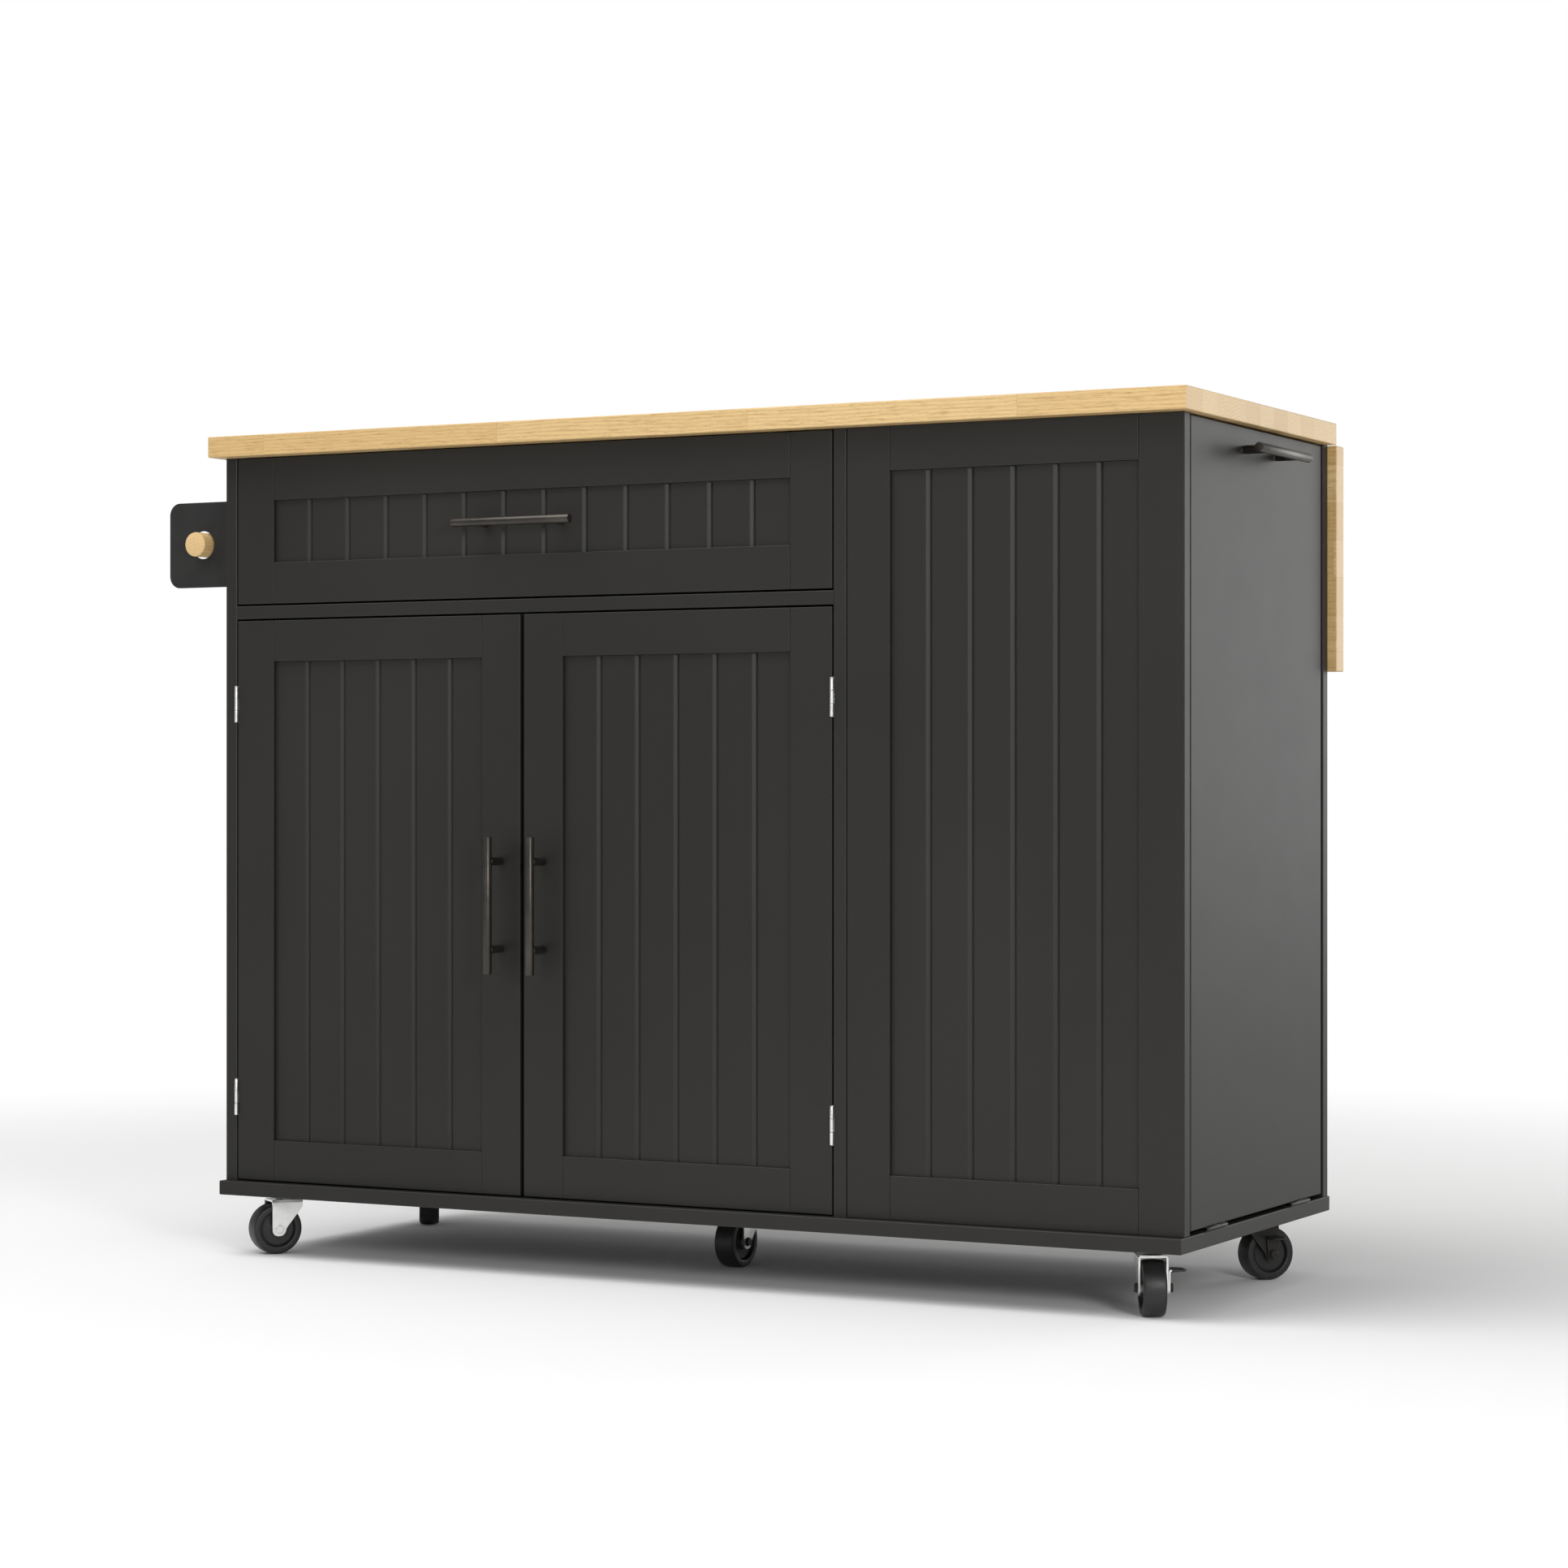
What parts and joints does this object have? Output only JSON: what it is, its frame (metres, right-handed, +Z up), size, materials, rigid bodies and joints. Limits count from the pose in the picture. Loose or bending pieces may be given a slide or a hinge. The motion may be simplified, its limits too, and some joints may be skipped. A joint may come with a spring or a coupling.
{
  "type": "kitchen island",
  "caption": "Rolling kitchen island cabinet with a drawer, hinged beadboard doors, a tilt-out bin door at one end, a wooden top with a drop leaf, a towel bar and swivel casters.",
  "frame": {"origin": "on the floor under the middle of the whole object's outline", "axes": "+X to the right along the front, +Y to the back, +Z up; the drawer and doors face -Y"},
  "size_m": [1.2962, 0.4824, 0.9315],
  "materials": {
    "cabinet_paint": "satin charcoal paint on fibreboard",
    "oak_wood": "clear satin varnish",
    "handle_metal": "satin dark bronze",
    "bright_steel": "bright zinc plate",
    "dark_steel": "dark nickel",
    "zinc_steel": "dull zinc plate",
    "wheel_plastic": "moulded, semi-matt",
    "rack_metal": "matt black powder coat",
    "catch_plastic": "moulded"
  },
  "bodies": {
    "cabinet": {"back_panel": "cabinet_paint", "base_board": "cabinet_paint", "caster_plates": "bright_steel", "countertop": "oak_wood", "divider_rail": "cabinet_paint", "door_catch": "catch_plastic", "door_hinge_plates": "bright_steel", "fixed_front_beadboard": "cabinet_paint", "fixed_front_frame": "cabinet_paint", "leaf_hinge_plates": "zinc_steel", "partition_panel": "cabinet_paint", "quadrant_guide": "catch_plastic", "rear_post": "cabinet_paint", "rear_rails": "cabinet_paint", "shelf": "cabinet_paint", "shelf_pins": "zinc_steel", "side_panel_left": "cabinet_paint", "slides_outer": "zinc_steel", "stay_channels": "zinc_steel", "tilt_hinge_plates": "dark_steel", "top_rail_front": "cabinet_paint", "towel_bar": "oak_wood", "towel_brackets": "rack_metal"},
    "drawer": {"drawer_back": "cabinet_paint", "drawer_beadboard": "cabinet_paint", "drawer_bottom": "cabinet_paint", "drawer_frame": "cabinet_paint", "drawer_handle": "handle_metal", "drawer_sides": "cabinet_paint", "slides_inner": "zinc_steel"},
    "slides": {"slides_middle": "zinc_steel"},
    "door_left": {"door_left_beadboard": "cabinet_paint", "door_left_fittings": "bright_steel", "door_left_frame": "cabinet_paint", "door_left_handle": "handle_metal"},
    "door_right": {"door_right_beadboard": "cabinet_paint", "door_right_fittings": "bright_steel", "door_right_frame": "cabinet_paint", "door_right_handle": "handle_metal"},
    "tilt_door": {"bin_holder": "cabinet_paint", "quadrant_stay": "zinc_steel", "tilt_door_handle": "handle_metal", "tilt_door_hinges": "dark_steel", "tilt_door_panel": "cabinet_paint"},
    "leaf": {"drop_leaf": "oak_wood", "leaf_fittings": "zinc_steel"},
    "stays": {"leaf_stays": "zinc_steel"},
    "fork_front_left": {"caster_front_left_fork": "bright_steel"},
    "wheel_front_left": {"caster_front_left_wheel": "wheel_plastic"},
    "brake_front_right": {"caster_front_right_brake": "wheel_plastic"},
    "fork_front_right": {"caster_front_right_fork": "bright_steel"},
    "wheel_front_right": {"caster_front_right_wheel": "wheel_plastic"},
    "fork_middle": {"caster_middle_fork": "bright_steel"},
    "wheel_middle": {"caster_middle_wheel": "wheel_plastic"},
    "fork_rear_left": {"caster_rear_left_fork": "bright_steel"},
    "wheel_rear_left": {"caster_rear_left_wheel": "wheel_plastic"},
    "brake_rear_right": {"caster_rear_right_brake": "wheel_plastic"},
    "fork_rear_right": {"caster_rear_right_fork": "bright_steel"},
    "wheel_rear_right": {"caster_rear_right_wheel": "wheel_plastic"}
  },
  "joints": [
    {"name": "drawer_slide", "type": "slide", "parent": "cabinet", "child": "drawer", "axis": [0, -1, 0], "range_m": [0, 0.3]},
    {"name": "slide_members", "type": "slide", "parent": "cabinet", "child": "slides", "axis": [0, -1, 0], "range_m": [0, 0.15]},
    {"name": "door_left_hinge", "type": "hinge", "parent": "cabinet", "child": "door_left", "pos_m": [-0.5391, -0.21025, 0.405], "axis": [0, 0, -1], "range_deg": [0, 170]},
    {"name": "door_right_hinge", "type": "hinge", "parent": "cabinet", "child": "door_right", "pos_m": [0.2223, -0.21025, 0.405], "axis": [0, 0, 1], "range_deg": [0, 170]},
    {"name": "tilt_door_hinge", "type": "hinge", "parent": "cabinet", "child": "tilt_door", "pos_m": [0.6161, 0.002, 0.0872], "axis": [0, 1, 0], "range_deg": [0, 30]},
    {"name": "leaf_hinge", "type": "hinge", "parent": "cabinet", "child": "leaf", "pos_m": [0.0301, 0.21775, 0.908], "axis": [1, 0, 0], "range_deg": [0, 90]},
    {"name": "stay_pivot", "type": "hinge", "parent": "leaf", "child": "stays", "pos_m": [0.0301, 0.20975, 0.818], "axis": [1, 0, 0], "range_deg": [-133.7, 0]},
    {"name": "swivel_front_left", "type": "hinge", "parent": "cabinet", "child": "fork_front_left", "pos_m": [-0.5007, -0.16415, 0.06], "axis": [0, 0, 1], "continuous": true},
    {"name": "roll_front_left", "type": "hinge", "parent": "fork_front_left", "child": "wheel_front_left", "pos_m": [-0.50952, -0.17628, 0.029], "axis": [0.809, -0.5878, 0], "continuous": true},
    {"name": "swivel_front_right", "type": "hinge", "parent": "cabinet", "child": "fork_front_right", "pos_m": [0.5609, -0.16415, 0.06], "axis": [0, 0, 1], "continuous": true},
    {"name": "roll_front_right", "type": "hinge", "parent": "fork_front_right", "child": "wheel_front_right", "pos_m": [0.56826, -0.17722, 0.029], "axis": [0.8712, 0.4909, 0], "continuous": true},
    {"name": "brake_front_right", "type": "hinge", "parent": "fork_front_right", "child": "brake_front_right", "pos_m": [0.56826, -0.17722, 0.029], "axis": [0.8712, 0.4909, 0], "range_deg": [0, 12]},
    {"name": "swivel_middle", "type": "hinge", "parent": "cabinet", "child": "fork_middle", "pos_m": [0.0155, -0.02225, 0.06], "axis": [0, 0, 1], "continuous": true},
    {"name": "roll_middle", "type": "hinge", "parent": "fork_middle", "child": "wheel_middle", "pos_m": [0.01492, -0.03724, 0.029], "axis": [0.9993, -0.0384, 0], "continuous": true},
    {"name": "swivel_rear_right", "type": "hinge", "parent": "cabinet", "child": "fork_rear_right", "pos_m": [0.5609, 0.13055, 0.06], "axis": [0, 0, 1], "continuous": true},
    {"name": "roll_rear_right", "type": "hinge", "parent": "fork_rear_right", "child": "wheel_rear_right", "pos_m": [0.57046, 0.14211, 0.029], "axis": [-0.7705, 0.6374, 0], "continuous": true},
    {"name": "brake_rear_right", "type": "hinge", "parent": "fork_rear_right", "child": "brake_rear_right", "pos_m": [0.57046, 0.14211, 0.029], "axis": [-0.7705, 0.6374, 0], "range_deg": [0, 12]},
    {"name": "swivel_rear_left", "type": "hinge", "parent": "cabinet", "child": "fork_rear_left", "pos_m": [-0.5007, 0.13055, 0.06], "axis": [0, 0, 1], "continuous": true},
    {"name": "roll_rear_left", "type": "hinge", "parent": "fork_rear_left", "child": "wheel_rear_left", "pos_m": [-0.50896, 0.14307, 0.029], "axis": [-0.8348, -0.5505, 0], "continuous": true}
  ],
  "couplings": [
    {"joint": "slide_members", "follows": "drawer_slide", "ratio": 0.5},
    {"joint": "stay_pivot", "follows": "leaf_hinge", "ratio": -1.4849}
  ]
}
